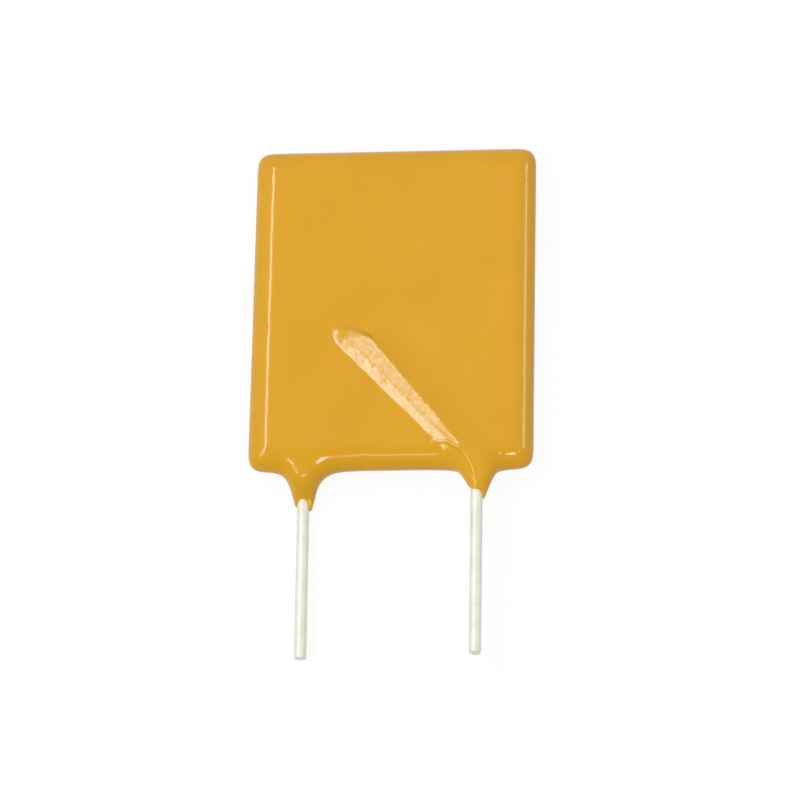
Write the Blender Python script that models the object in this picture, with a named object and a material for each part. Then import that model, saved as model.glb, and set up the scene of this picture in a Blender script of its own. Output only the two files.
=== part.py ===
"""A radial-leaded resettable fuse.

A carbon-filled polymer plaque is bonded between two nickel foils. A tinned copper lead is soldered
diagonally across each foil, and the whole is dipped in epoxy, which swells over the wires and runs
down them in a neck. Metres, +Z up. The fuse lies on its back: its front face looks up, along +Z, its
leads point along -Y, and the middle of its box's underside is the origin.
"""

import math
from collections import namedtuple

import bmesh
import bpy
import numpy as np
from mathutils import Vector

# Leads
LEAD_SPACING = 0.01016
WIRE_DIAMETER = 0.0007
LEAD_REACH = 0.0110
FRONT_LEAD_EXTRA = 0.0002
BEND_RADIUS = 0.0010
BEND_BELOW_CORE = 0.0002
DIAGONAL_ANGLE = math.radians(43.5)
DIAGONAL_LENGTH = 0.0100
TIP_ROUNDING = 0.00009

# Plaque and foils
CORE_PAST_LEAD = 0.00249
CORE_HEIGHT = 0.01831
CORE_THICKNESS = 0.0005
FOIL_THICKNESS = 0.00005
FOIL_MARGIN = 0.0002

# Solder
SOLDER_START = 0.0016
SOLDER_PAST_WIRE = 0.0004
SOLDER_WIDTH = 0.0017
SOLDER_HEIGHT = 0.0003
SOLDER_CREST_WALL = 0.0001
SOLDER_PROFILE = (0.15, 0.5, 1.0)

# Coating
COAT_EDGE = 0.0007
COAT_FACE = 0.00066
COAT_OVER_WIRE = 0.0002
COAT_FILM = 0.0001
RIM_DEPTH = 0.00142
RIM_POWER = 2.0
CORNER_RADIUS = 0.00085

# The ridge over each wire, measured along the wire from its bend and across it. Its lower flank rises from
# a foot, more steeply from the step on, to a crest that runs a little aslant of the wire. The other flank
# falls off more softly.
RIDGE_FOOT = 0.00113
RIDGE_FOOT_SPREAD = 0.0133
RIDGE_LOW_SLOPE = 0.27
RIDGE_HIGH_SLOPE = 0.40
RIDGE_STEP = 0.00056
RIDGE_CREST = -0.00026
RIDGE_CREST_SPREAD = 0.066
RIDGE_FALL = 0.0008
RIDGE_ROUNDING = 0.00016
RIDGE_LENGTH = 0.01115
RIDGE_END_BOW = 930
RIDGE_END_LOW = 0.00081
RIDGE_SHOULDER = 0.0005
RIDGE_END_FADE = 0.0014
RIDGE_START_FADE = 0.0010

# Necks: how the coating runs down each lead. Each side has its length, its half width at the tip, how much
# wider it gets up to the body in a straight taper, and the flare where it leaves the body.
NeckSide = namedtuple("NeckSide", "length tip taper flare")
FRONT_LEAD_INNER = NeckSide(0.00127, 0.00046, 0.00070, 0.00010)
FRONT_LEAD_OUTER = NeckSide(0.00197, 0.00046, 0.00070, 0.00010)
BACK_LEAD_INNER = NeckSide(0.00214, 0.00050, 0.00043, 0.00070)
BACK_LEAD_OUTER = NeckSide(0.00192, 0.00046, 0.00050, 0.00025)
NECK_FRONT_LENGTH = 0.0015
FLARE_LENGTH = 0.0005
THINNING_LENGTH = 0.0008
NECK_ROOT = 0.002
NECK_MOUTH = 0.00024
MOUTH_ROUNDING = 0.0002
NECK_FILLET = 0.00018
NECK_END_ROUNDING = 0.00003

# Clearance between pieces that are bonded to each other
BOND_GAP = 0.00003

# Fineness of the surfaces
WIRE_SIDES = 16
BEND_STEPS = 6
TIP_STEPS = 2
MIDDLE_COLUMNS = 14
OUTER_COLUMNS = 5
RIDGE_ROWS = 16
PLAIN_ROWS = 5
NECK_RINGS = 5
NECK_TURNS = tuple(math.radians(turn) for turn in (0, 22, 45, 90, 135, 158, 180, 202, 225, 270, 315, 338))
SMOOTHING = 1
FORM_STEPS = 6
FORM_NUDGE = 0.000001
SHARP_ANGLE = math.radians(40)
COAT_SHARP_ANGLE = math.radians(60)

# Worked out from the sizes above
WIRE_RADIUS = WIRE_DIAMETER / 2
CORE_WIDTH = LEAD_SPACING + 2 * CORE_PAST_LEAD
BODY_WIDTH = CORE_WIDTH + 2 * COAT_EDGE
BODY_HEIGHT = CORE_HEIGHT + 2 * COAT_EDGE
BODY_BOTTOM = -BODY_HEIGHT / 2
BEND_Y = -CORE_HEIGHT / 2 - BEND_BELOW_CORE
FOIL_UNDERSIDE = CORE_THICKNESS / 2 + BOND_GAP
FOIL_TOP = FOIL_UNDERSIDE + FOIL_THICKNESS
SEAT = FOIL_TOP + BOND_GAP
WIRE_Z = SEAT + WIRE_RADIUS
FACE_Z = FOIL_TOP + COAT_FACE
CREST_Z = WIRE_Z + WIRE_RADIUS + COAT_OVER_WIRE
CORNER_INSET = CORNER_RADIUS * (1 - math.sqrt(0.5))
CORNER_POWER = -math.log(2) / math.log(1 - CORNER_INSET / RIM_DEPTH)
RIM_SHARE = 0.5 ** (1 / RIM_POWER)
NECK_RADIUS = WIRE_RADIUS + COAT_FILM

# side is 1 for the front face and -1 for the back, hand is 1 for the right lead and -1 for the left.
Lead = namedtuple("Lead", "name side hand reach inner outer")
FRONT_LEAD = Lead("front_lead", 1, 1, LEAD_REACH + FRONT_LEAD_EXTRA, FRONT_LEAD_INNER, FRONT_LEAD_OUTER)
BACK_LEAD = Lead("back_lead", -1, -1, LEAD_REACH, BACK_LEAD_INNER, BACK_LEAD_OUTER)
LEADS = (FRONT_LEAD, BACK_LEAD)

# A column of the coating's cage: where it runs over the faces, and where it meets the lower rim.
Column = namedtuple("Column", "face rim")


def clear_scene():
    for obj in list(bpy.data.objects):
        bpy.data.objects.remove(obj, do_unlink=True)


def make_material(name, color, roughness, metallic):
    material = bpy.data.materials.new(name)
    material.use_nodes = True
    shader = material.node_tree.nodes["Principled BSDF"]
    shader.inputs["Base Color"].default_value = (*color, 1.0)
    shader.inputs["Roughness"].default_value = roughness
    shader.inputs["Metallic"].default_value = metallic
    return material


def object_from(name, mesh_maker, sharp_angle=SHARP_ANGLE):
    """The object of a bmesh, with its faces turned outwards and its rounds shaded smooth."""
    bmesh.ops.recalc_face_normals(mesh_maker, faces=mesh_maker.faces)
    mesh = bpy.data.meshes.new(name)
    mesh_maker.to_mesh(mesh)
    mesh_maker.free()
    mesh.shade_smooth()
    mesh.set_sharp_from_angle(angle=sharp_angle)
    obj = bpy.data.objects.new(name, mesh)
    bpy.context.scene.collection.objects.link(obj)
    return obj


def box(name, size_x, size_y, low_z, high_z):
    bm = bmesh.new()
    bmesh.ops.create_cube(bm, size=1.0)
    bmesh.ops.scale(bm, vec=(size_x, size_y, high_z - low_z), verts=bm.verts)
    bmesh.ops.translate(bm, vec=(0, 0, (low_z + high_z) / 2), verts=bm.verts)
    return object_from(name, bm)


def bridge(bm, ring_a, ring_b):
    """Quads between two closed rings of as many vertices."""
    count = len(ring_a)
    for k in range(count):
        following = (k + 1) % count
        bm.faces.new((ring_a[k], ring_a[following], ring_b[following], ring_b[k]))


def loft(name, rings):
    """A closed body through rings of points, with a flat cap on each end."""
    bm = bmesh.new()
    made = [[bm.verts.new(point) for point in ring] for ring in rings]
    for ring_a, ring_b in zip(made, made[1:]):
        bridge(bm, ring_a, ring_b)
    bm.faces.new(made[0])
    bm.faces.new(made[-1])
    return object_from(name, bm)


def cut(obj, cutter):
    """Takes the cutter's shape out of the object."""
    cutter.hide_render = True
    cutter.display_type = "WIRE"
    modifier = obj.modifiers.new(f"cut_{cutter.name}", "BOOLEAN")
    modifier.operation = "DIFFERENCE"
    modifier.solver = "EXACT"
    modifier.object = cutter


def lead_x(lead):
    return lead.hand * LEAD_SPACING / 2


def diagonal_direction(lead):
    return Vector((-lead.hand * math.sin(DIAGONAL_ANGLE), math.cos(DIAGONAL_ANGLE), 0))


def bend_corner(lead):
    """Where the lead's straight run and its diagonal would meet without the bend's rounding."""
    return Vector((lead_x(lead), BEND_Y, lead.side * WIRE_Z))


def wire_end(lead):
    return bend_corner(lead) + diagonal_direction(lead) * DIAGONAL_LENGTH


def bend_points(lead):
    """The rounded bend, as pairs of a point on the lead's axis and the direction of the wire there."""
    tangent_length = BEND_RADIUS * math.tan(DIAGONAL_ANGLE / 2)
    start = bend_corner(lead) - Vector((0, tangent_length, 0))
    centre = start - Vector((lead.hand * BEND_RADIUS, 0, 0))
    pairs = []
    for step in range(BEND_STEPS + 1):
        turn = DIAGONAL_ANGLE * step / BEND_STEPS
        outwards = Vector((lead.hand * math.cos(turn), math.sin(turn), 0))
        along = Vector((-lead.hand * math.sin(turn), math.cos(turn), 0))
        pairs.append((centre + outwards * BEND_RADIUS, along))
    return pairs


def wire_ring(point, along, radius):
    """A ring round the wire's axis, in the plane that the wire crosses at a right angle."""
    across = Vector((along.y, -along.x, 0))
    ring = []
    for k in range(WIRE_SIDES):
        angle = 2 * math.pi * (k + 0.5) / WIRE_SIDES
        ring.append(point + radius * (math.cos(angle) * across + math.sin(angle) * Vector((0, 0, 1))))
    return ring


def wire_rings(lead, start_rings, radius, past_end):
    """Rings from the ones given at the free end, round the bend, to the end on the foil."""
    rings = list(start_rings)
    rings += [wire_ring(point, along, radius) for point, along in bend_points(lead)]
    along = diagonal_direction(lead)
    rings.append(wire_ring(wire_end(lead) + along * past_end, along, radius))
    return rings


def lead_tip(lead):
    return Vector((lead_x(lead), BODY_BOTTOM - lead.reach, lead.side * WIRE_Z))


def make_lead(lead):
    """The wire, with the cut edge of its free tip a little rounded."""
    up = Vector((0, 1, 0))
    start_rings = []
    for step in range(TIP_STEPS + 1):
        turn = math.pi / 2 * step / TIP_STEPS
        radius = WIRE_RADIUS - TIP_ROUNDING * (1 - math.sin(turn))
        place = lead_tip(lead) + up * TIP_ROUNDING * (1 - math.cos(turn))
        start_rings.append(wire_ring(place, up, radius))
    return loft(lead.name, wire_rings(lead, start_rings, WIRE_RADIUS, 0))


def make_bore_cutter(lead, name):
    """The wire and its clearance, from its free tip to just past its end on the foil."""
    radius = WIRE_RADIUS + BOND_GAP
    start_rings = [wire_ring(lead_tip(lead), Vector((0, 1, 0)), radius)]
    return loft(name, wire_rings(lead, start_rings, radius, BOND_GAP))


def stadium_ring(start, end, radius, height):
    """A ring at one height, at one distance from the line between two points."""
    along = (end - start).normalized()
    across = Vector((along.y, -along.x, 0))
    lift = Vector((0, 0, height))
    half = WIRE_SIDES // 2
    ring = []
    for centre, first in ((end, 0), (start, half)):
        for k in range(half + 1):
            angle = math.pi * (first + k) / half
            ring.append(centre + lift + radius * (math.cos(angle) * across + math.sin(angle) * along))
    return ring


def solder_mound(lead, name, growth):
    """The solder's outer shape, wetted out thin on the foil and drawn up beside the wire."""
    corner = bend_corner(lead)
    corner.z = 0
    along = diagonal_direction(lead)
    start = corner + along * SOLDER_START
    end = corner + along * (DIAGONAL_LENGTH + SOLDER_PAST_WIRE - SOLDER_CREST_WALL)
    foot = SOLDER_WIDTH / 2
    crest = WIRE_RADIUS + BOND_GAP + SOLDER_CREST_WALL
    rings = [stadium_ring(start, end, foot + growth, lead.side * (SEAT - growth))]
    for share in SOLDER_PROFILE:
        radius = crest + (foot - crest) * (1 - share) ** 2
        height = SEAT + SOLDER_HEIGHT * share + growth
        rings.append(stadium_ring(start, end, radius + growth, lead.side * height))
    return loft(name, rings)


def make_solder(lead, name):
    solder = solder_mound(lead, name, 0)
    cut(solder, make_bore_cutter(lead, f"{name}_groove"))
    return solder


def make_foil(side, name):
    low, high = sorted((side * FOIL_UNDERSIDE, side * FOIL_TOP))
    return box(name, CORE_WIDTH - 2 * FOIL_MARGIN, CORE_HEIGHT - 2 * FOIL_MARGIN, low, high)


def soft_step(value):
    """Zero below zero, one above one, and a smooth rise between."""
    value = np.clip(value, 0, 1)
    return value * value * (3 - 2 * value)


def soft_ramp(value, rounding):
    """Zero below zero and the value itself above, with a rounded corner between."""
    return rounding * np.logaddexp(0, value / rounding)


def soft_least(a, b, rounding):
    """The lesser of two values, with a rounded corner where they are equal."""
    return a - soft_ramp(a - b, rounding)


def ridge_height(lead, x, y):
    """How far the coating stands proud of its face over a wire."""
    corner = bend_corner(lead)
    along_x, along_y, _ = diagonal_direction(lead)
    along = (x - corner.x) * along_x + (y - corner.y) * along_y
    across = lead.hand * ((x - corner.x) * along_y - (y - corner.y) * along_x)
    foot = RIDGE_FOOT + RIDGE_FOOT_SPREAD * along
    crest = RIDGE_CREST + RIDGE_CREST_SPREAD * along
    steeper = RIDGE_HIGH_SLOPE - RIDGE_LOW_SLOPE
    rise = RIDGE_LOW_SLOPE * soft_ramp(across + foot, RIDGE_ROUNDING)
    rise += steeper * soft_ramp(across + RIDGE_STEP, RIDGE_ROUNDING)
    top = RIDGE_LOW_SLOPE * soft_ramp(crest + foot, RIDGE_ROUNDING)
    top += steeper * soft_ramp(crest + RIDGE_STEP, RIDGE_ROUNDING)
    height = soft_least(rise, top * np.exp((crest - across) / RIDGE_FALL), RIDGE_ROUNDING)
    end = RIDGE_LENGTH - RIDGE_END_BOW * (np.minimum(across, RIDGE_SHOULDER) + RIDGE_END_LOW) ** 2
    height *= 1 - soft_step((along - end) / RIDGE_END_FADE + 0.5)
    return height * (1 - soft_step(-along / RIDGE_START_FADE))


def body_field(x, y, z):
    """About how far points lie outside the dipped body, whose rim is rounded like an ellipse."""
    out_x = np.maximum(abs(x) / RIM_DEPTH - (BODY_WIDTH / 2 / RIM_DEPTH - 1), 0)
    out_y = np.maximum(abs(y) / RIM_DEPTH - (BODY_HEIGHT / 2 / RIM_DEPTH - 1), 0)
    out = (out_x**CORNER_POWER + out_y**CORNER_POWER) ** (1 / CORNER_POWER)
    ridges = np.where(z > 0, ridge_height(FRONT_LEAD, x, y), ridge_height(BACK_LEAD, x, y))
    up = abs(z) / (FACE_Z + ridges)
    return FACE_Z * ((out**RIM_POWER + up**RIM_POWER) ** (1 / RIM_POWER) - 1)


def neck_reach(side, below):
    """The neck's half width on one side, at a depth below the body."""
    left_over = np.maximum(1 - below / side.length, 0)
    return side.tip + side.taper * left_over + side.flare * np.exp(-below / FLARE_LENGTH)


def neck_length(lead, aside, front):
    """How far a neck runs down at a place round its wire, given in shares of the neck's radius."""
    length = lead.inner.length + (lead.outer.length - lead.inner.length) * soft_step((aside + 1) / 2)
    return length + (NECK_FRONT_LENGTH - length) * soft_step(front)


def neck_field(lead, x, y, z):
    """About how far points lie outside a neck: an oval that closes in on the wire, down to a rounded end."""
    below = soft_ramp(BODY_BOTTOM - y, MOUTH_ROUNDING)
    aside = lead.hand * (x - lead_x(lead))
    reach = np.where(aside > 0, neck_reach(lead.outer, below), neck_reach(lead.inner, below))
    down = np.minimum(below / neck_length(lead, 0, 0), 1)
    near = CREST_Z + (WIRE_Z + NECK_RADIUS - CREST_Z) * down
    near -= CREST_Z * soft_step((y - BEND_Y) / NECK_ROOT)
    far = WIRE_Z - NECK_RADIUS
    far -= (FACE_Z * RIM_SHARE + far) * np.exp(-below / THINNING_LENGTH) * (1 - down)
    half = (near - far) / 2
    share = np.hypot(aside / reach, (lead.side * z - (near + far) / 2) / half)
    outside = (share - 1) * NECK_RADIUS
    length = neck_length(lead, aside / NECK_RADIUS, (z - lead.side * WIRE_Z) / NECK_RADIUS)
    past_end = BODY_BOTTOM - y - length
    above_root = y - BEND_Y - NECK_ROOT
    return np.maximum(-soft_least(-outside, -past_end, NECK_END_ROUNDING), above_root)


def coating_field(x, y, z):
    field = body_field(x, y, z)
    for lead in LEADS:
        field = soft_least(field, neck_field(lead, x, y, z), NECK_FILLET)
    return field


def drawn_onto_form(points):
    """Moves points, one a row, along the field's slope until they lie on the coating's surface."""
    for _ in range(FORM_STEPS):
        slope = np.empty_like(points)
        for axis, nudge in enumerate(np.eye(3) * FORM_NUDGE):
            ahead, behind = coating_field(*(points + nudge).T), coating_field(*(points - nudge).T)
            slope[:, axis] = (ahead - behind) / (2 * FORM_NUDGE)
        step = coating_field(*points.T) / (slope**2).sum(axis=1)
        points = points - slope * step[:, None]
    return points


def even_steps(start, end, count):
    return [start + (end - start) * k / count for k in range(1, count + 1)]


def columns_beside(lead):
    """The columns from a neck's inner side over its axis to the face's edge, with x measured outwards."""
    axis = LEAD_SPACING / 2
    between = math.tan(NECK_TURNS[1])
    inner = neck_reach(lead.inner, NECK_MOUTH)
    outer = neck_reach(lead.outer, NECK_MOUTH)
    corner = BODY_WIDTH / 2 - CORNER_RADIUS
    over_face = [axis - inner, axis - inner * between, axis]
    on_rim = over_face + [axis + outer * between, axis + outer, (axis + outer + corner) / 2, corner]
    over_face += even_steps(axis, BODY_WIDTH / 2 - RIM_DEPTH, OUTER_COLUMNS)
    return [Column(*places) for places in zip(over_face, on_rim + [BODY_WIDTH / 2 - CORNER_INSET])]


def cage_columns():
    """The cage's places across the body: the face's edges, the necks' sides and axes, and between them."""
    left = [Column(-column.face, -column.rim) for column in reversed(columns_beside(BACK_LEAD))]
    right = columns_beside(FRONT_LEAD)
    middle = even_steps(left[-1].face, right[0].face, MIDDLE_COLUMNS)[:-1]
    return left + [Column(x, x) for x in middle] + right


def cage_rows():
    """The cage's places up the body, close together where the ridges are."""
    edge = BODY_HEIGHT / 2 - RIM_DEPTH
    ridge_top = wire_end(FRONT_LEAD).y + RIDGE_END_FADE
    rows = [-edge] + even_steps(-edge, ridge_top, RIDGE_ROWS)
    return rows + even_steps(ridge_top, edge - CORNER_RADIUS, PLAIN_ROWS) + [edge]


def outline_point(columns, rows, i, j):
    """Where the rim's outermost line passes the face's border point in column i, row j."""
    half_width, half_height = BODY_WIDTH / 2, BODY_HEIGHT / 2
    x = columns[i].rim if j == 0 or i in (0, 1, len(columns) - 2, len(columns) - 1) else columns[i].face
    y = rows[j]
    at_side = i in (0, len(columns) - 1)
    at_end = j in (0, len(rows) - 1)
    if at_side and at_end:
        return Vector((x, math.copysign(half_height - CORNER_INSET, y)))
    if at_end:
        return Vector((x, math.copysign(half_height, y)))
    if j in (1, len(rows) - 2):
        y = math.copysign(half_height - CORNER_RADIUS, y)
    return Vector((math.copysign(half_width, x), y))


def neck_columns(columns, lead):
    """The numbers of a neck's five columns, from its inner side to its outer one."""
    middle = min(range(len(columns)), key=lambda i: abs(columns[i].face - lead_x(lead)))
    return [middle + lead.hand * step for step in (-2, -1, 0, 1, 2)]


def border_of(columns, rows):
    """(column, row) of each border point, once round, anticlockwise from the lower left corner."""
    last_i, last_j = len(columns) - 1, len(rows) - 1
    border = [(i, 0) for i in range(last_i)]
    border += [(last_i, j) for j in range(last_j)]
    border += [(i, last_j) for i in range(last_i, 0, -1)]
    return border + [(0, j) for j in range(last_j, 0, -1)]


def body_cage(bm, columns, rows):
    """The body's vertices: two faces of rows, and a rim of three lines, keyed by their place."""
    faces = {}
    for side in (1, -1):
        for i, column in enumerate(columns):
            for j, y in enumerate(rows):
                faces[side, i, j] = bm.verts.new((column.face, y, side * FACE_Z))
    rim = {}
    for i, j in border_of(columns, rows):
        outer = outline_point(columns, rows, i, j)
        inner = Vector((columns[i].face, rows[j]))
        rim[0, i, j] = bm.verts.new((*outer, 0))
        for side in (1, -1):
            x, y = outer.lerp(inner, 1 - RIM_SHARE)
            rim[side, i, j] = bm.verts.new((x, y, side * FACE_Z * RIM_SHARE))
    return faces, rim


def neck_ring_points(lead, down):
    """The points round a neck, the share down of the way from its mouth to its tip."""
    top, bottom = CREST_Z, -FACE_Z * RIM_SHARE
    middle = (top + bottom) / 2 * (1 - down) + WIRE_Z * down
    half = (top - bottom) / 2 * (1 - down) + NECK_RADIUS * down
    points = []
    for turn in NECK_TURNS:
        aside, ahead = math.sin(turn), math.cos(turn)
        square = max(abs(aside), abs(ahead))
        reach = neck_reach(lead.outer if aside > 0 else lead.inner, NECK_MOUTH)
        reach += (NECK_RADIUS - reach) * down
        length = neck_length(lead, aside, lead.side * ahead)
        x = lead_x(lead) + lead.hand * aside / (square + (1 - square) * down) * reach
        y = BODY_BOTTOM - NECK_MOUTH - (length - NECK_MOUTH) * down
        points.append((x, y, lead.side * (middle + ahead * half)))
    return points


def neck_cage(bm, lead, columns, rim):
    """The neck: rings drawn out of the rim's faces at the lead, closed over the wire."""
    inner, mid_inner, middle, mid_outer, outer = neck_columns(columns, lead)
    near, far = lead.side, -lead.side
    around = [(near, middle), (near, mid_outer), (near, outer), (0, outer)]
    around += [(far, outer), (far, mid_outer), (far, middle), (far, mid_inner), (far, inner)]
    around += [(0, inner), (near, inner), (near, mid_inner)]
    ring = [rim[side, i, 0] for side, i in around]
    for vert, point in zip(ring, neck_ring_points(lead, 0)):
        vert.co.z = point[2]
    for k in range(1, NECK_RINGS + 1):
        following = [bm.verts.new(point) for point in neck_ring_points(lead, k / NECK_RINGS)]
        bridge(bm, ring, following)
        ring = following
    tip = bm.verts.new(sum((vert.co for vert in ring), Vector()) / len(ring))
    for k in range(0, len(ring), 2):
        bm.faces.new((ring[k], ring[k + 1], ring[(k + 2) % len(ring)], tip))
    for i in (mid_inner, middle, mid_outer):
        bm.verts.remove(rim[0, i, 0])


def body_faces(bm, columns, rows, faces, rim):
    """Quads over both faces and round the rim, but not where a neck leaves it."""
    for side in (1, -1):
        for i in range(len(columns) - 1):
            for j in range(len(rows) - 1):
                corners = ((i, j), (i + 1, j), (i + 1, j + 1), (i, j + 1))
                bm.faces.new([faces[side, *corner] for corner in corners])
    mouths = set()
    for lead in LEADS:
        mouths |= {(i, 0) for i in sorted(neck_columns(columns, lead))[:-1]}
    border = border_of(columns, rows)
    for here, following in zip(border, border[1:] + border[:1]):
        for side in (1, -1):
            quad = (rim[side, *here], rim[side, *following])
            bm.faces.new((*quad, faces[side, *following], faces[side, *here]))
            if here not in mouths:
                bm.faces.new((rim[0, *here], rim[0, *following], quad[1], quad[0]))


def limit_weights(bm):
    """The Catmull-Clark rule for where each vertex ends up on the smoothed surface, one vertex a row."""
    weights = np.zeros((len(bm.verts), len(bm.verts)))
    for vert in bm.verts:
        valence = len(vert.link_edges)
        weights[vert.index, vert.index] = valence**2
        for edge in vert.link_edges:
            weights[vert.index, edge.other_vert(vert).index] += 4
        for face in vert.link_faces:
            corners = [corner.index for corner in face.verts]
            weights[vert.index, corners[corners.index(vert.index) - 2]] += 1
        weights[vert.index] /= valence * (valence + 5)
    return weights


def draw_onto_form(bm):
    """Puts the cage where the surface that is smoothed from it passes through the coating's form."""
    bm.verts.index_update()
    targets = drawn_onto_form(np.array([vert.co for vert in bm.verts]))
    for vert, place in zip(bm.verts, np.linalg.solve(limit_weights(bm), targets)):
        vert.co = place


def make_coating():
    """The dipped skin: a smoothed cage with the pockets of what it holds taken out."""
    columns, rows = cage_columns(), cage_rows()
    bm = bmesh.new()
    faces, rim = body_cage(bm, columns, rows)
    body_faces(bm, columns, rows, faces, rim)
    for lead in LEADS:
        neck_cage(bm, lead, columns, rim)
    draw_onto_form(bm)
    coating = object_from("epoxy_coating", bm, COAT_SHARP_ANGLE)
    smooth = coating.modifiers.new("smooth", "SUBSURF")
    smooth.levels = SMOOTHING
    smooth.render_levels = SMOOTHING
    pocket_width = CORE_WIDTH + 2 * BOND_GAP
    cut(coating, box("plaque_pocket", pocket_width, CORE_HEIGHT + 2 * BOND_GAP, -SEAT, SEAT))
    for lead in LEADS:
        cut(coating, make_bore_cutter(lead, f"{lead.name}_bore"))
        cut(coating, solder_mound(lead, f"{lead.name}_solder_pocket", BOND_GAP))
    return coating


def settle(objects):
    """Puts the fuse on the floor, with the middle of its box's underside at the origin."""
    bpy.context.view_layer.update()
    graph = bpy.context.evaluated_depsgraph_get()
    corners = [Vector(c) for obj in objects for c in obj.evaluated_get(graph).bound_box]
    low = Vector(min(c[axis] for c in corners) for axis in range(3))
    high = Vector(max(c[axis] for c in corners) for axis in range(3))
    middle = (low + high) / 2
    rest = bpy.data.objects.new("rest", None)
    bpy.context.scene.collection.objects.link(rest)
    rest.location = (-middle.x, -middle.y, -low.z)
    for obj in bpy.data.objects:
        if obj is not rest:
            obj.parent = rest


def make_fuse():
    epoxy = make_material("gold_epoxy", (0.74, 0.38, 0.03), 0.25, 0.0)
    tin = make_material("tinned_copper", (0.80, 0.81, 0.76), 0.3, 1.0)
    nickel = make_material("nickel_foil", (0.62, 0.60, 0.55), 0.4, 1.0)
    carbon = make_material("carbon_polymer", (0.02, 0.02, 0.02), 0.7, 0.0)
    alloy = make_material("solder", (0.66, 0.67, 0.68), 0.35, 1.0)
    pieces = {
        make_coating(): epoxy,
        box("polymer_core", CORE_WIDTH, CORE_HEIGHT, -CORE_THICKNESS / 2, CORE_THICKNESS / 2): carbon,
        make_foil(1, "front_foil"): nickel,
        make_foil(-1, "back_foil"): nickel,
        make_lead(FRONT_LEAD): tin,
        make_lead(BACK_LEAD): tin,
        make_solder(FRONT_LEAD, "front_solder"): alloy,
        make_solder(BACK_LEAD, "back_solder"): alloy,
    }
    for obj, material in pieces.items():
        obj.data.materials.append(material)
    settle(list(pieces))


clear_scene()
make_fuse()
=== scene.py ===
import math
from collections import namedtuple

import bmesh
import bpy
import numpy as np
from mathutils import Matrix, Vector


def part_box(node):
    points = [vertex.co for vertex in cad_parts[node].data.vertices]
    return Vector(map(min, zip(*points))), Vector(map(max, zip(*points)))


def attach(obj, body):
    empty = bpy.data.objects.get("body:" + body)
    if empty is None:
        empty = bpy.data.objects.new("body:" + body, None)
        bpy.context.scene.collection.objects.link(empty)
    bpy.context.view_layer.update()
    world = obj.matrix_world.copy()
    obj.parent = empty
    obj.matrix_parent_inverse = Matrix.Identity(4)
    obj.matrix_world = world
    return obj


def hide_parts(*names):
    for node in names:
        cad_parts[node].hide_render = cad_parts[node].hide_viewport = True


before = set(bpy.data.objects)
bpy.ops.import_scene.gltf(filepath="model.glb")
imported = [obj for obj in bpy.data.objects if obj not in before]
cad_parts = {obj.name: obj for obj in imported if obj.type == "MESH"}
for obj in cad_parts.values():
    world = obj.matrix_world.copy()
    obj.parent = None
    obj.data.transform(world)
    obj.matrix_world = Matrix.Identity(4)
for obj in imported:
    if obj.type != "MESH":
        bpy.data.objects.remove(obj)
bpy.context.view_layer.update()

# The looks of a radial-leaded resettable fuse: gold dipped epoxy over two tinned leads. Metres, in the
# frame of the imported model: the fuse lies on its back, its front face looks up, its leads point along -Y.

# Leads
LEAD_SPACING = 0.01016
WIRE_DIAMETER = 0.0007
BEND_RADIUS = 0.0010
BEND_BELOW_CORE = 0.0002
DIAGONAL_ANGLE = math.radians(43.5)
DIAGONAL_LENGTH = 0.0100

# Plaque and foils
CORE_PAST_LEAD = 0.00249
CORE_HEIGHT = 0.01831
CORE_THICKNESS = 0.0005
FOIL_THICKNESS = 0.00005

# Coating
COAT_EDGE = 0.0007
COAT_FACE = 0.00066
COAT_OVER_WIRE = 0.0002
COAT_FILM = 0.0001
RIM_DEPTH = 0.00142
RIM_POWER = 2.0
CORNER_RADIUS = 0.00085

# The ridge over each wire, measured along the wire from its bend and across it. Its lower flank rises from
# a foot, more steeply from the step on and less so again at a lip, to a crest that runs a little aslant of
# the wire. The other flank falls off more softly.
RIDGE_FOOT = 0.00113
RIDGE_FOOT_SPREAD = 0.0133
RIDGE_LOW_SLOPE = 0.27
RIDGE_HIGH_SLOPE = 0.40
RIDGE_STEP = 0.00056
RIDGE_CREST = -0.00026
RIDGE_CREST_SPREAD = 0.066
RIDGE_FALL = 0.0010
RIDGE_FOOT_ROUNDING = 0.00004
RIDGE_STEP_ROUNDING = 0.00007
FRONT_CREST_ROUNDING = 0.000025
BACK_CREST_ROUNDING = 0.00016
RIDGE_LIP = 0.00015
RIDGE_LIP_SLOPE = 0.27
RIDGE_LIP_ROUNDING = 0.00001
RIDGE_LENGTH = 0.01115
RIDGE_END_BOW = 930
RIDGE_END_LOW = 0.00081
RIDGE_SHOULDER = 0.0005
RIDGE_END_FADE = 0.0014
RIDGE_START_FADE = 0.0010

# Necks: how the coating runs down each lead. Each side has its length, its half width at the tip, how much
# wider it gets up to the body in a straight taper, and the flare where it leaves the body.
NeckSide = namedtuple("NeckSide", "length tip taper flare")
FRONT_LEAD_INNER = NeckSide(0.00127, 0.00046, 0.00070, 0.00010)
FRONT_LEAD_OUTER = NeckSide(0.00197, 0.00046, 0.00070, 0.00010)
BACK_LEAD_INNER = NeckSide(0.00214, 0.00050, 0.00043, 0.00070)
BACK_LEAD_OUTER = NeckSide(0.00192, 0.00046, 0.00050, 0.00025)
NECK_FRONT_LENGTH = 0.0015
FLARE_LENGTH = 0.0005
NECK_ROOT = 0.002
NECK_MOUTH = 0.00024
MOUTH_ROUNDING = 0.0002
NECK_FILLET = 0.00018
NECK_END_ROUNDING = 0.00003

# On the side away from its wire, a neck starts from a share of the face's height and closes in on the wire
# over a length. The higher the power, the later it does so.
Fall = namedtuple("Fall", "share length power")
FRONT_FALL = Fall(0.7, 0.0016, 0.45)
BACK_FALL = Fall(0.8, 0.0015, 2.2)

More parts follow.
